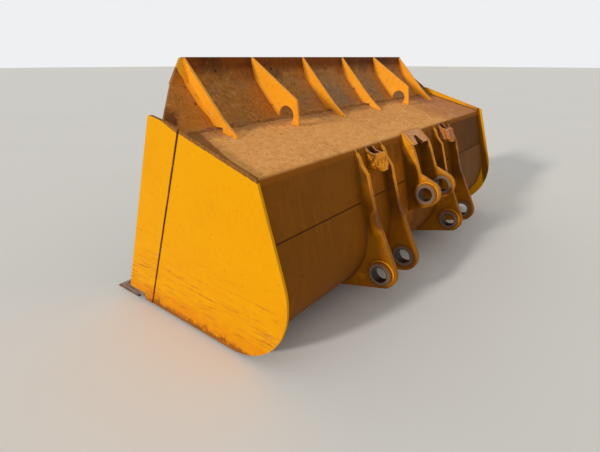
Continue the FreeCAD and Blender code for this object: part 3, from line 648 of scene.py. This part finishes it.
def hammered_stop():
    """Stop blocks: paint beaten off the pads, most of it on the right one, to pinkish steel."""
    finish = Finish("hammered_stop")
    patches = finish.noise(0.022, detail=6, rough=0.65, shift=2.9)
    grain = finish.noise(0.006, detail=5, rough=0.7)
    dents = finish.cells(0.016, shift=1.0)
    left = finish.x.step(0.1, -0.1)
    kept = (patches + grain * 0.2 + left * 0.26).step(0.62, 0.70)
    rusty = (grain * 0.5 + patches * 0.6 + (1 - dents) * 0.15).step(0.70, 0.82)
    top = finish.facing_z.step(0.55, 0.75) * (patches + left * 0.1).step(0.30, 0.50)
    left_cheek = left * finish.facing_x.step(-0.60, -0.85) * patches.step(0.58, 0.48)
    # Painted shade inside the block's hollow
    hollow = abs(abs(finish.x) - STOP_PLACES[1]).step(STOP_HOLLOW + 0.0004, STOP_HOLLOW - 0.0002)
    hollow = hollow * abs(finish.off_line(*WALL_LINE)).step(STOP_DEPTH, STOP_DEPTH - 0.0006)
    colour = covered(
        patches.step(0.40, 0.60).mix(PAD_STEEL, PAD_BROWN),
        (patches.step(0.45, 0.65).mix(AMBER, DEEP_AMBER), kept),
        (DARK_RUST, rusty * 0.7),
        (PALE_AMBER, finish.edges(0.005) * 0.5),
        (grain.step(0.46, 0.62).mix(PAD_DUST, RUST), top * 0.75),
        (grain.step(0.42, 0.60).mix(DARK_RUST, WALL_BROWN), left_cheek * 0.9),
        (HOLLOW_SHADE, hollow * 0.95))
    rough = 0.52 + grain * 0.2 + rusty * 0.2
    height = dents * 0.6 + grain * 0.3 - kept * 0.1
    return finish.finished(colour, rough, bare=(1 - kept) * 0.25, height=height,
                           depth=0.002, gloss=0.12)


def dusty_roof():
    """Plate between the link ears: pinkish dust on top, painted shade below and in the notch."""
    finish = Finish("dusty_roof")
    patches = finish.noise(0.035, detail=6, rough=0.65, shift=4.0)
    grain = finish.noise(0.007, detail=5, rough=0.7)
    top = covered(patches.step(0.40, 0.66).mix(ROOF_DUST, ROOF_DUST_DARK),
                  (DUST, grain.step(0.50, 0.64) * 0.5))
    # Painted shade on the faces that don't face up
    below = patches.step(0.35, 0.55).mix(LIP_BROWN, WALL_DARK)
    worn = finish.edges(0.006) * patches.step(0.30, 0.50)
    colour = covered(
        finish.facing_z.step(0.2, 0.6).mix(below, top),
        (PALE_AMBER, worn * 0.5),
        (DARK_RUST, (grain + patches * 0.4).step(0.86, 0.95) * 0.7))
    return finish.finished(colour, 0.7 + grain * 0.15, height=grain * 0.4 + patches * 0.3,
                           depth=0.0015)


def weld_finish(name, coat, rusty=0.5):
    """A weld bead: the paint over it, worn and rusting on its crests, with dirt beside it."""
    finish = Finish(name)
    patches = finish.noise(0.040, detail=6, rough=0.65, shift=5.1)
    grain = finish.noise(0.005, detail=4, rough=0.7)
    colour = covered(
        coat,
        (RUST, (patches + grain * 0.3).step(0.80 - rusty * 0.25, 0.90)),
        (EARTH, finish.corners(0.02) * grain.step(0.35, 0.60) * 0.7))
    return finish.finished(colour, 0.55 + grain * 0.2, height=grain * 0.5 + patches * 0.2,
                           depth=0.0012, gloss=0.08)


def rusty_nut():
    finish = Finish("rusty_nut")
    patches = finish.noise(0.014, detail=5, rough=0.65)
    grain = finish.noise(0.003, detail=4, rough=0.7, shift=2.0)
    worn = finish.edges(0.003)
    colour = covered(
        patches.step(0.38, 0.62).mix(DARK_RUST, RUST),
        (SCOURED, worn * 0.75),
        (EARTH, finish.corners(0.02) * 0.6))
    return finish.finished(colour, 0.62 + grain * 0.15 - worn * 0.2, bare=0.2 + worn * 0.5,
                           height=grain * 0.6 + patches * 0.3, depth=0.0010)


def dry_soil():
    finish = Finish("dry_soil")
    patches = finish.noise(0.030, detail=6, rough=0.7)
    grain = finish.noise(0.004, detail=5, rough=0.75, shift=3.0)
    colour = covered(patches.step(0.38, 0.62).mix(DRY_SOIL, DARK_SOIL),
                     (PALE_SOIL, grain.step(0.50, 0.68) * 0.6))
    return finish.finished(colour, 0.9 + grain * 0.08, height=grain * 0.6 + patches, depth=0.003)


def put_finish(material, *names):
    """Gives a material to the construction model's nodes whose names start so."""
    for name, node in nodes.items():
        if name.startswith(names):
            for slot in node.material_slots:
                slot.material = material


def new_piece(name, bm, material, smooth=True):
    mesh = bpy.data.meshes.new(name)
    bmesh.ops.recalc_face_normals(bm, faces=bm.faces)
    bm.to_mesh(mesh)
    bm.free()
    for face in mesh.polygons:
        face.use_smooth = smooth
    mesh.materials.append(material)
    piece = bpy.data.objects.new(name, mesh)
    bpy.context.scene.collection.objects.link(piece)
    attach(piece, "root")
    return piece


def across(section, x):
    """Points of a section at one place across the bucket."""
    return [Vector((x, y, z)) for y, z in section]


def mirrored(section, x):
    """The same run at the left and at the right of the bucket's middle."""
    return [across(section, -x), across(section, x)]


def both_faces(places, half, *sections):
    """The same runs on both faces of each plate that stands at these places."""
    return [across(section, x + side * half)
            for x in places for side in (-1, 1) for section in sections]


def level(place, start, end):
    """A straight run across the bucket through a (Y, Z) place, from one X to another."""
    return [Vector((start, *place)), Vector((end, *place))]


def circle(centre, radius, count=49):
    """Points of a section once round a (Y, Z) centre, the last on the first."""
    angles = [math.radians(360 / (count - 1) * step) for step in range(count)]
    return [(centre[0] + radius * math.cos(angle), centre[1] + radius * math.sin(angle))
            for angle in angles]


def even_steps(points, pitch):
    """Points one pitch apart along a run of straight stretches."""
    places = [points[0]]
    for start, end in zip(points, points[1:]):
        count = max(1, round((end - start).length / pitch))
        places += [start.lerp(end, (step + 1) / count) for step in range(count)]
    return places


def skin(bm, rings):
    """Joins rings with as many corners each into a closed skin."""
    count = len(rings[0])
    for first, second in zip(rings, rings[1:]):
        for corner in range(count):
            following = (corner + 1) % count
            bm.faces.new((first[corner], first[following], second[following], second[corner]))
    bm.faces.new(rings[0])
    bm.faces.new(reversed(rings[-1]))


bead_noise = random.Random(11)


def lay_bead(bm, points, leg, pitch, sides=7):
    """Adds a weld bead along a run of points, with the ripples that its passes leave."""
    places = even_steps(points, pitch)
    last = len(places) - 1
    rings = []
    for step, place in enumerate(places):
        along = (places[min(step + 1, last)] - places[max(step - 1, 0)]).normalized()
        level_way = along.orthogonal().normalized()
        if abs(along.x) < 0.9:
            level_way = Vector((1, 0, 0)).cross(along).normalized()
        third_way = along.cross(level_way)
        swell = 0.88 + 0.12 * (step % 2) + bead_noise.uniform(-0.07, 0.07)
        if step in (0, last):
            swell = 0.35
        ring = []
        for side in range(sides):
            angle = 2 * math.pi * side / sides
            offset = level_way * math.cos(angle) + third_way * math.sin(angle)
            wobble = bead_noise.uniform(0.94, 1.06)
            ring.append(bm.verts.new(place + offset * leg * swell * wobble))
        rings.append(ring)
    skin(bm, rings)


def weld(name, runs, material, leg, pitch=0.005):
    bm = bmesh.new()
    for points in runs:
        lay_bead(bm, points, leg, pitch)
    return new_piece(name, bm, material)


amber_bead = weld_finish("amber_bead", AMBER)
brown_bead = weld_finish("brown_bead", GUARD_BROWN, rusty=0.8)
wall_bead = weld_finish("wall_bead", WALL_BEAD_BROWN, rusty=0.3)
seam_bead = weld_finish("seam_bead", SEAM_BEAD_BROWN, rusty=0.1)
dust_bead = weld_finish("dust_bead", BROWN_DUST, rusty=0.2)
steel_bead = weld_finish("steel_bead", SCOURED_DARK, rusty=0.8)
soil = dry_soil()

put_finish(rib_paint(), "rib_", "lifting_rib")
put_finish(side_paint(), "side_")
put_finish(ear_paint(), "hinge_ear", "link_ear")
put_finish(shell_paint(), "upper_shell", "lower_shell")
put_finish(guard_steel(), "guard_")
put_finish(scoured_edge(), "cutting_edge", "edge_segment", "wear_plate")
put_finish(hammered_stop(), "stop_block")
put_finish(dusty_roof(), "link_roof")

# Guard foot on the ledge, behind and inside
guard_end = SIDE_INSIDE - 0.006
weld("weld_guard_foot", [level(GUARD_FOOT, -guard_end, guard_end)],
     brown_bead, leg=0.0075)
weld("weld_guard_inside", [level(GUARD_FOOT_INSIDE, -guard_end, guard_end)],
     brown_bead, leg=0.006)

# Ribs: both faces of each, up the guard and its lip, and along the foot on the ledge
rib_rise = [(0.0124, 0.9142), LIP_FOOT, LIP_TOP]
lifting_rise = [(0.0168, 0.9189), LIP_FOOT, LIP_TOP]
rise_runs = both_faces(RIB_PLACES, RIB_HALF, rib_rise)
rise_runs += both_faces(LIFTING_PLACES, RIB_HALF, lifting_rise)
weld("weld_ribs", rise_runs, amber_bead, leg=0.0055, pitch=0.006)
rib_foot = [(-0.030, 0.8976), (-0.114, 0.8756)]
lifting_foot = [(-0.0625, 0.8891), (-0.111, 0.8764)]
foot_runs = both_faces(RIB_PLACES, RIB_HALF, rib_foot)
foot_runs += both_faces(LIFTING_PLACES, RIB_HALF, lifting_foot)
weld("weld_rib_feet", foot_runs, amber_bead, leg=0.006)

# Seam of the back wall, and the shell's corners with the side plates
seam_crest = (-0.4655, 0.554)
weld("weld_wall_seam", [level(seam_crest, -SIDE_INSIDE, SIDE_INSIDE)],
     seam_bead, leg=0.0032)
outer_run = [GUARD_FOOT] + BEND + [WALL_SEAM] + HEEL + [(FLOOR_FRONT, FLOOR_UNDERSIDE)]
inner_start = (0.0085, 0.8973)
seam_inside = (-0.4562, 0.5517)
inner_run = [inner_start] + BEND_INSIDE + [seam_inside] + HEEL_INSIDE + [(FLOOR_FRONT, FLOOR_TOP)]
weld("weld_sides_outer", mirrored(outer_run, SIDE_INSIDE), wall_bead, leg=0.0065)
weld("weld_sides_inner", mirrored(inner_run, SIDE_INSIDE), steel_bead, leg=0.0065)

# Side edges: the seam with the side plate, and their feet on the cutting edge
edge_seam = [(-0.0335, 0.9325), (0.349, 0.014)]
weld("weld_side_edges", mirrored(edge_seam, SIDE_OUTSIDE + 0.0003),
     seam_bead, leg=0.0034)
side_toe = [(0.408, EDGE_TOP), (0.540, EDGE_TOP)]
toe_front = (0.543, EDGE_TOP)
toe_runs = []
for side in (-1, 1):
    toe_runs.append(across(side_toe, side * SIDE_INSIDE))
    toe_runs.append(level(toe_front, side * SIDE_EDGE_OUTSIDE, side * SIDE_INSIDE))
weld("weld_side_toes", toe_runs, steel_bead, leg=0.007)
floor_step = (FLOOR_FRONT, 0.0395)
weld("weld_cutting_edge", [level(floor_step, -SIDE_INSIDE, SIDE_INSIDE)],
     steel_bead, leg=0.009)

# Ears on the heel and the back wall, their bosses, and the roof between the link ears
heel_run = [(-0.3407, 0.0700), (-0.3972, 0.1116), (-0.4436, 0.1642), (-0.4778, 0.2255),
            (-0.4983, 0.2926), (-0.5042, 0.3625), (-0.4952, 0.4321), BEND[-1], EAR_TOP]
wall_run = [(-0.5055, 0.3870), BEND[-1], EAR_TOP]
weld("weld_hinge_ears", both_faces([x for x, outward in HINGE_EARS], EAR_HALF, heel_run),
     wall_bead, leg=0.0075, pitch=0.006)
weld("weld_link_ears", both_faces([x for x, outward in LINK_EARS], EAR_HALF, wall_run),
     wall_bead, leg=0.0070, pitch=0.006)
boss_runs = []
for ears, pin, radius in ((HINGE_EARS, HINGE_PIN, HINGE_BOSS), (LINK_EARS, LINK_PIN, LINK_BOSS)):
    for x, outward in ears:
        boss_runs.append(across(circle(pin, radius), x + outward * EAR_HALF))
weld("weld_bosses", boss_runs, amber_bead, leg=0.0055)
roof_underside = [(-0.4700, 0.7350), (-0.4060, 0.7925)]
roof_top = [ROOF_REAR, ROOF_FRONT]
weld("weld_link_roof", mirrored(roof_underside, ROOF_SIDE),
     amber_bead, leg=0.0045)
weld("weld_roof_left", [across(roof_top, -ROOF_SIDE)], amber_bead, leg=0.0045)
weld("weld_roof_right", [across(roof_top, ROOF_SIDE)], dust_bead, leg=0.0045)
roof_foot = (-0.4035, 0.8005)
weld("weld_roof_front", [level(roof_foot, -0.1220, 0.1220)],
     dust_bead, leg=0.0095)

# Stop blocks: along the wall and down the pads
stop_wall = [(-0.4325, 0.6935), BEND[-1], (-0.4035, 0.7955)]
stop_pad = [(-0.4877, 0.6930), (-0.4589, 0.7655)]
weld("weld_stops", both_faces(STOP_PLACES, STOP_HALF, stop_wall, stop_pad),
     wall_bead, leg=0.0055)

# Wear plates under the heel
WEAR_PLATE_HALF = 0.21
plate_runs = []
for middle in (-0.780, 0.0, 0.780):
    for edge in ((-0.1743, 0.0225), (0.0357, 0.0225)):
        plate_runs.append(level(edge, middle - WEAR_PLATE_HALF, middle + WEAR_PLATE_HALF))
weld("weld_wear_plates", plate_runs, steel_bead, leg=0.006, pitch=0.007)

# Nuts on the cutting edge. The washer's outline is (radius, height) pairs from the steel up.
SEGMENT_PLACES = (-0.851, 0.0, 0.851)
NUTS_ON_SEGMENT = (-0.330, -0.110, 0.110, 0.330)
NUT_ROW = 0.535
NUT_FLATS = 0.041
NUT_HEIGHT = 0.022
WASHER = ((0.026, 0.0), (0.0265, 0.0008), (0.0265, 0.0036), (0.0258, 0.0042))
BOLT_RADIUS = 0.0120
THREAD_PITCH = 0.0024


def lay_nut(bm, x, y, z, turn):
    """Adds a hexagon nut with chamfered corners on a washer, and the bolt's end through it."""
    count = 48
    half = NUT_FLATS / 2
    bottom = WASHER[-1][1]
    top = bottom + NUT_HEIGHT
    angles = [2 * math.pi * step / count for step in range(count)]
    hexagon = [half / math.cos(angle % (math.pi / 3) - math.pi / 6) for angle in angles]
    rows = [[pair] * count for pair in WASHER]
    rows.append([(reach - 0.0004, bottom) for reach in hexagon])
    rows.append([(reach, bottom + 0.0012) for reach in hexagon])
    rows.append([(reach, top - 0.0010 - (reach - half) * 0.9) for reach in hexagon])
    rows.append([(half * 0.97, top)] * count)
    rows.append([(BOLT_RADIUS + 0.0016, top)] * count)
    rows.append([(BOLT_RADIUS + 0.0004, top - 0.0016)] * count)
    for thread in range(5):
        low = top - 0.001 + thread * THREAD_PITCH
        rows.append([(BOLT_RADIUS - 0.0012, low)] * count)
        rows.append([(BOLT_RADIUS, low + THREAD_PITCH / 2)] * count)
    rows.append([(BOLT_RADIUS - 0.0015, top + 0.0125)] * count)
    rings = []
    for row in rows:
        ring = []
        for angle, (radius, low) in zip(angles, row):
            ring.append(bm.verts.new((x + radius * math.cos(angle + turn),
                                      y + radius * math.sin(angle + turn), z + low)))
        rings.append(ring)
    skin(bm, rings)


nut_noise = random.Random(5)
nuts = bmesh.new()
for segment in SEGMENT_PLACES:
    for place in NUTS_ON_SEGMENT:
        lay_nut(nuts, segment + place, NUT_ROW, EDGE_TOP - 0.0002, nut_noise.uniform(0, 1.0))
new_piece("edge_nuts", nuts, rusty_nut(), smooth=False)

soil_noise = random.Random(3)


def lay_soil(bm, reach, low, high, bulge):
    """Adds a ridge of dry soil along the guard's foot, ragged on both its edges."""
    count = 360
    rings = []
    for step in range(count + 1):
        x = -reach + 2 * reach * step / count
        drift = 1.0 + 0.5 * math.sin(x * 9.0) * math.sin(x * 23.0 + 1.0)
        swell = soil_noise.uniform(0.75, 1.25) * drift
        spread = 0.30 + 0.70 * swell
        ring = []
        for part in range(6):
            share = part / 5
            rise = math.sin(math.pi * share) * bulge * swell
            jitter = soil_noise.uniform(-0.0012, 0.0012) * (1 if 0 < part < 5 else 0)
            from_foot = [(high[way] + (low[way] - high[way]) * share - GUARD_FOOT[way]) * spread
                         for way in (0, 1)]
            y = GUARD_FOOT[0] + from_foot[0] - rise * 0.5
            z = GUARD_FOOT[1] + from_foot[1] + rise * 0.6
            ring.append(bm.verts.new((x, y + jitter, z + jitter)))
        ring.append(bm.verts.new((x, GUARD_FOOT[0] - 0.001, GUARD_FOOT[1] - 0.006)))
        rings.append(ring)
    skin(bm, rings)


ridge = bmesh.new()
lay_soil(ridge, 1.245, low=(-0.010, 0.9018), high=(0.014, 0.9148), bulge=0.004)
new_piece("soil_at_guard_foot", ridge, soil)

crumb_noise = random.Random(8)


def crumb_size(sizes):
    return crumb_noise.choice(sizes) * crumb_noise.uniform(0.8, 1.3)


def lay_crumb(bm, x, y, floor, size):
    """Adds one clod of soil, a squat lump with uneven corners, sunk a little into the floor."""
    made = bmesh.ops.create_icosphere(bm, subdivisions=1, radius=1.0)
    place = Vector((x, y, floor + size * 0.25))
    stretch = [crumb_noise.uniform(*span) for span in ((0.7, 1.3), (0.7, 1.3), (0.45, 0.8))]
    for vert in made["verts"]:
        uneven = crumb_noise.uniform(0.75, 1.2)
        lump = [part * along * size * uneven for part, along in zip(vert.co, stretch)]
        vert.co = place + Vector(lump)


# Crumbs of soil on the ledge, fewer away from the guard, and inside on the floor
LEDGE_REAR = -0.37
CRUMB_REACH = 1.24
crumbs = bmesh.new()
for crumb in range(260):
    y = GUARD_FOOT[0] - 0.001 - abs(crumb_noise.gauss(0, 0.07))
    x = crumb_noise.uniform(-CRUMB_REACH, CRUMB_REACH)
    if y >= LEDGE_REAR:
        size = crumb_size((0.0014, 0.0018, 0.0024, 0.0032))
        lay_crumb(crumbs, x, y, GUARD_FOOT[1] + (y - GUARD_FOOT[0]) * LEDGE_SLOPE, size)
for crumb in range(520):
    y = crumb_noise.uniform(-0.20, 0.38)
    x = crumb_noise.uniform(-CRUMB_REACH, CRUMB_REACH)
    lay_crumb(crumbs, x, y, FLOOR_TOP, crumb_size((0.002, 0.003, 0.005, 0.008)))
new_piece("soil_crumbs", crumbs, soil)


def pale_floor():
    finish = Finish("pale_floor")
    tone = finish.noise(1.5, detail=3).mix(FLOOR_PALE, FLOOR_GREY)
    bm = bmesh.new()
    bmesh.ops.create_circle(bm, cap_ends=True, segments=96, radius=60.0)
    mesh = bpy.data.meshes.new("floor")
    bm.to_mesh(mesh)
    bm.free()
    mesh.materials.append(finish.finished(tone, 0.9))
    floor = bpy.data.objects.new("floor", mesh)
    floor.location = (0, 0, -0.0005)
    bpy.context.scene.collection.objects.link(floor)


def surround():
    """Soft light all round, and a pale background where it is seen or mirrored."""
    world = bpy.data.worlds.new("surround")
    sky = Nodes(world)
    camera_ray = sky.add("ShaderNodeLightPath", out="Is Camera Ray")
    seen = camera_ray | camera_ray.other("Is Glossy Ray") | camera_ray.other("Is Transmission Ray")
    soft = sky.add("ShaderNodeBackground", None, {"Color": DAYLIGHT, "Strength": 0.54})
    pale = sky.add("ShaderNodeBackground", None, {"Color": BACKDROP, "Strength": 1.0})
    mixed = sky.add("ShaderNodeMixShader", None, {0: seen, 1: soft, 2: pale})
    sky.add("ShaderNodeOutputWorld", None, {"Surface": mixed})
    bpy.context.scene.world = world


def key_lamp():
    """Warm light from the bucket's left, a little from above and ahead."""
    lamp = bpy.data.lights.new("key", "SUN")
    lamp.energy = 1.95
    lamp.angle = math.radians(6)
    lamp.color = (1.0, 0.96, 0.88)
    key = bpy.data.objects.new("key", lamp)
    towards = Vector((0.931, -0.135, -0.345))
    key.rotation_euler = towards.to_track_quat("-Z", "Y").to_euler()
    bpy.context.scene.collection.objects.link(key)


def photo_camera():
    """Camera at the photograph's place: at the bucket's left rear, as high as the guard."""
    camera = bpy.data.cameras.new("camera")
    camera.sensor_width = 36.0
    camera.lens = 24.66
    camera.clip_start = 0.05
    camera.clip_end = 300.0
    holder = bpy.data.objects.new("camera", camera)
    forward = Vector((0.7265, 0.5724, -0.3803))
    right = Vector((0.6187, -0.7855, 0.0))
    up = right.cross(forward)
    turn = Matrix((right, up, -forward)).transposed()
    holder.matrix_world = Matrix.Translation((-2.228, -1.376, 1.190)) @ turn.to_4x4()
    bpy.context.scene.collection.objects.link(holder)
    bpy.context.scene.camera = holder


pale_floor()
surround()
key_lamp()
photo_camera()
bpy.context.scene.view_settings.view_transform = "Standard"
